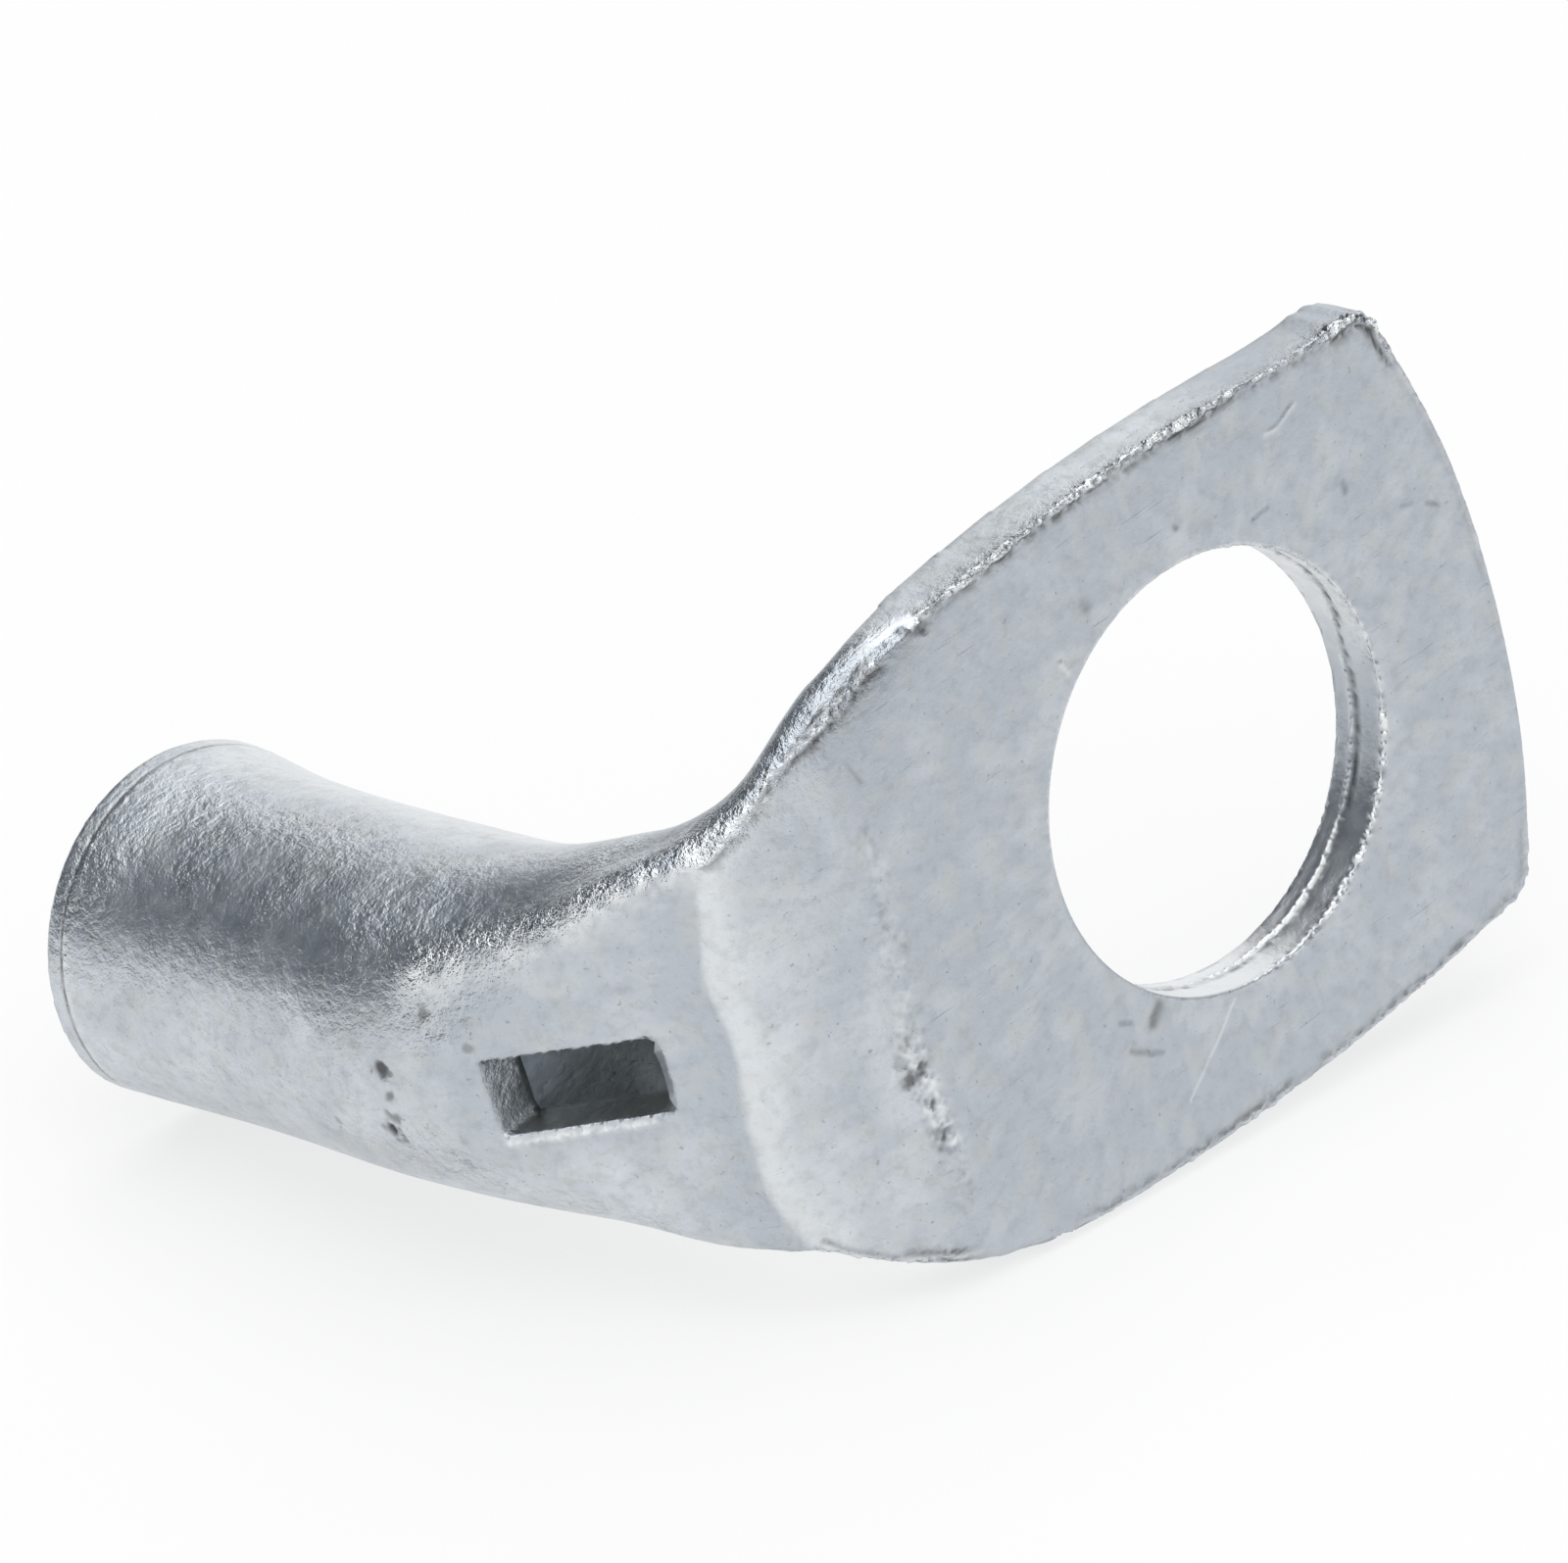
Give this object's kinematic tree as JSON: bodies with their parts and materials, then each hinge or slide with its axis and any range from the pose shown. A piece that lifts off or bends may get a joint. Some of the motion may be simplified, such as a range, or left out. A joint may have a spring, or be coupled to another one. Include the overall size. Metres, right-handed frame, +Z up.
{
  "type": "ring terminal",
  "caption": "Right-angle tin-plated copper ring terminal: round wire barrel, flattened and bent neck with a sight window, and a wide flat palm with a bolt hole.",
  "frame": {"origin": "middle of the bounding box at its lowest level, on the table the terminal lies on", "axes": "+Z up from the table; +X from the bend to the tip of the palm; +Y from the palm to the mouth of the barrel"},
  "size_m": [0.0172, 0.0136, 0.0106],
  "materials": {
    "tinned_copper": "satin, tin-plated copper"
  },
  "bodies": {
    "root": {"ring_terminal": "tinned_copper"}
  },
  "joints": []
}
